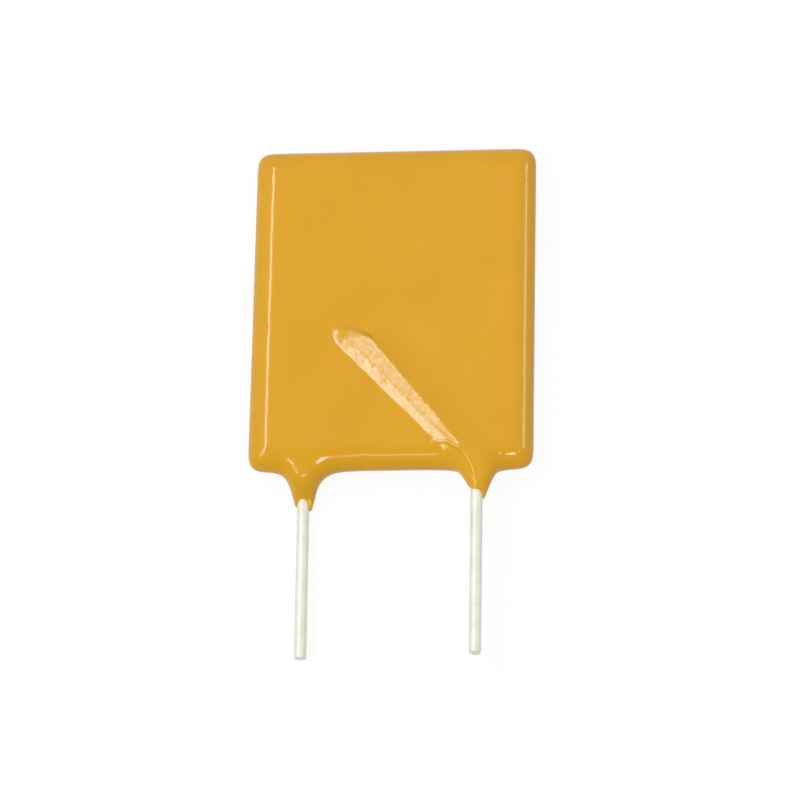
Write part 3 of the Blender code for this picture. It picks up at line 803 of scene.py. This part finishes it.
def with_painted_glints(tree, color, pit_and_glint_noise, share):
    """A colour with pale flecks of painted highlight mixed into it, where the share says."""
    glint_amount = tree.nodes.new("ShaderNodeMapRange")
    glint_amount.inputs["From Min"].default_value, glint_amount.inputs["From Max"].default_value = PAINTED_GLINT_RANGE
    most = tree.nodes.new("ShaderNodeMath")
    most.operation = "MULTIPLY"
    most.inputs[1].default_value = PAINTED_GLINT_SHARE
    tree.links.new(share, most.inputs[0])
    tree.links.new(most.outputs[0], glint_amount.inputs["To Max"])
    tree.links.new(pit_and_glint_noise, glint_amount.inputs["Value"])
    painted_glint_mix = tree.nodes.new("ShaderNodeMix")
    painted_glint_mix.data_type = "RGBA"
    painted_glint_mix.inputs["B"].default_value = (*PAINTED_GLINT_COLOR, 1)
    tree.links.new(glint_amount.outputs[0], painted_glint_mix.inputs["Factor"])
    tree.links.new(color, painted_glint_mix.inputs["A"])
    return painted_glint_mix.outputs["Result"]


def tin_material():
    material, tree, shader = node_material("tin_finish")
    place = tree.nodes.new("ShaderNodeTexCoord").outputs["Object"]
    mottle = noise_node(tree, place, scale=1500, detail=3)
    tree.links.new(color_ramp(tree, mottle, (0.35, 0.65), TIN_COLORS), shader.inputs["Base Color"])
    drawn = tree.nodes.new("ShaderNodeMapping")
    drawn.inputs["Scale"].default_value = DRAWN_STRETCH
    tree.links.new(place, drawn.inputs["Vector"])
    streaks = noise_node(tree, drawn.outputs["Vector"], scale=16000, detail=2)
    lines = bump_node(tree, streaks, distance=0.000004, strength=0.5)
    tree.links.new(lines, shader.inputs["Normal"])
    shader.inputs["Metallic"].default_value = TIN_METALLIC
    shader.inputs["Roughness"].default_value = TIN_ROUGHNESS
    return material


def plain_material(name, colors, metallic, roughness, scale, distance):
    """A surface of two close colours in clouds, with a fine unevenness."""
    material, tree, shader = node_material(name)
    place = tree.nodes.new("ShaderNodeTexCoord").outputs["Object"]
    clouds = noise_node(tree, place, scale, detail=3)
    tree.links.new(color_ramp(tree, clouds, (0.35, 0.65), colors), shader.inputs["Base Color"])
    uneven = noise_node(tree, place, scale * 6, detail=2)
    tree.links.new(bump_node(tree, uneven, distance), shader.inputs["Normal"])
    shader.inputs["Metallic"].default_value = metallic
    shader.inputs["Roughness"].default_value = roughness
    return material


def finish_inner_pieces():
    """Gives the pieces that the coating hides their materials."""
    carbon = plain_material(
        "carbon_polymer_finish",
        colors=((0.016, 0.016, 0.016), (0.028, 0.028, 0.028)),
        metallic=0,
        roughness=0.7,
        scale=900,
        distance=0.000005,
    )
    nickel = plain_material(
        "nickel_foil_finish",
        colors=((0.58, 0.56, 0.51), (0.66, 0.64, 0.58)),
        metallic=1,
        roughness=0.35,
        scale=700,
        distance=0.000003,
    )
    solder = plain_material(
        "solder_finish",
        colors=((0.62, 0.63, 0.64), (0.70, 0.71, 0.72)),
        metallic=1,
        roughness=0.3,
        scale=1200,
        distance=0.000006,
    )
    finishes = {
        "polymer_core": carbon,
        "front_foil": nickel,
        "back_foil": nickel,
        "front_solder": solder,
        "back_solder": solder,
    }
    for name, finish in finishes.items():
        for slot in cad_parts[name].material_slots:
            slot.material = finish


def add_camera():
    data = bpy.data.cameras.new("photo_camera")
    data.lens = CAMERA_LENS_MM
    data.sensor_width = CAMERA_SENSOR_MM
    data.clip_start = 0.01
    data.clip_end = 10
    camera = bpy.data.objects.new("photo_camera", data)
    back = -CAMERA_FORWARD.normalized()
    right = (CAMERA_RIGHT - CAMERA_RIGHT.dot(back) * back).normalized()
    up = back.cross(right)
    turned = Matrix((right, up, back)).transposed().to_4x4()
    camera.matrix_world = Matrix.Translation(BODY_CENTRE + CAMERA_FROM_BODY) @ turned
    bpy.context.scene.collection.objects.link(camera)
    bpy.context.scene.camera = camera


def add_softbox(lamp):
    """A rectangular lamp that faces the fuse. Its length runs along Y as far as its tilt lets it."""
    data = bpy.data.lights.new(lamp.name, "AREA")
    data.shape = "RECTANGLE"
    data.size = lamp.width
    data.size_y = lamp.length
    data.energy = lamp.radiance * math.pi * lamp.width * lamp.length
    softbox = bpy.data.objects.new(lamp.name, data)
    back = Vector(lamp.direction).normalized()
    along = (Vector((0, 1, 0)) - back.y * back).normalized()
    across = along.cross(back)
    turned = Matrix((across, along, back)).transposed().to_4x4()
    softbox.matrix_world = Matrix.Translation(back * LAMP_DISTANCE) @ turned
    bpy.context.scene.collection.objects.link(softbox)


def white_to_the_eye(tree):
    """One for the rays of the camera, of reflections and of refractions, and zero for those that light."""
    path = tree.nodes.new("ShaderNodeLightPath")
    seen = path.outputs["Is Camera Ray"]
    for kind in ("Is Glossy Ray", "Is Transmission Ray"):
        either = tree.nodes.new("ShaderNodeMath")
        either.operation = "MAXIMUM"
        tree.links.new(seen, either.inputs[0])
        tree.links.new(path.outputs[kind], either.inputs[1])
        seen = either.outputs[0]
    return seen


def add_world():
    """White all round to the eye, with a dimmer room to reflect on the side that the camera stands on."""
    world = bpy.data.worlds.new("studio")
    world.use_nodes = True
    tree = world.node_tree
    nodes, links = tree.nodes, tree.links
    nodes.clear()
    out = nodes.new("ShaderNodeOutputWorld")
    lit = nodes.new("ShaderNodeBackground")
    lit.inputs["Color"].default_value = (1, 1, 1, 1)
    lit.inputs["Strength"].default_value = WORLD_LIGHT
    direction = nodes.new("ShaderNodeSeparateXYZ")
    links.new(nodes.new("ShaderNodeTexCoord").outputs["Generated"], direction.inputs[0])
    room = nodes.new("ShaderNodeMapRange")
    room.interpolation_type = "SMOOTHSTEP"
    room.inputs["From Min"].default_value, room.inputs["From Max"].default_value = ROOM_EDGE
    room.inputs["To Min"].default_value = ROOM_GLOSS
    room.inputs["To Max"].default_value = 1
    links.new(direction.outputs["Y"], room.inputs["Value"])
    white = nodes.new("ShaderNodeBackground")
    links.new(room.outputs[0], white.inputs["Strength"])
    mix = nodes.new("ShaderNodeMixShader")
    links.new(white_to_the_eye(tree), mix.inputs["Fac"])
    links.new(lit.outputs[0], mix.inputs[1])
    links.new(white.outputs[0], mix.inputs[2])
    links.new(mix.outputs[0], out.inputs["Surface"])
    bpy.context.scene.world = world


def add_floor():
    """Paper that takes the fuse's shadow and is otherwise as white to the eye as the world behind it."""
    bm = bmesh.new()
    bmesh.ops.create_grid(bm, x_segments=1, y_segments=1, size=FLOOR_SIZE)
    floor = object_from("floor", bm)
    material = bpy.data.materials.new("floor_white")
    material.use_nodes = True
    tree = material.node_tree
    nodes, links = tree.nodes, tree.links
    nodes.clear()
    out = nodes.new("ShaderNodeOutputMaterial")
    paper = nodes.new("ShaderNodeBsdfDiffuse")
    paper.inputs["Color"].default_value = (*FLOOR_PAPER, 1)
    white = nodes.new("ShaderNodeEmission")
    white.inputs["Strength"].default_value = FLOOR_GLOW
    part = nodes.new("ShaderNodeMath")
    part.operation = "MULTIPLY"
    part.inputs[1].default_value = FLOOR_GLOW_SHARE
    links.new(white_to_the_eye(tree), part.inputs[0])
    mix = nodes.new("ShaderNodeMixShader")
    links.new(part.outputs[0], mix.inputs["Fac"])
    links.new(paper.outputs[0], mix.inputs[1])
    links.new(white.outputs[0], mix.inputs[2])
    links.new(mix.outputs[0], out.inputs["Surface"])
    floor.data.materials.append(material)


add_camera()
coating = make_coating()
coating.data.materials.append(epoxy_material())
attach(coating, "root")
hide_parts("epoxy_coating")
tin = tin_material()
for lead in LEADS:
    wire = make_lead(lead)
    wire.data.materials.append(tin)
    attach(wire, "root")
    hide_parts(lead.name)
finish_inner_pieces()
for lamp in LAMPS:
    add_softbox(lamp)
add_world()
add_floor()
bpy.context.scene.view_settings.view_transform = "Standard"
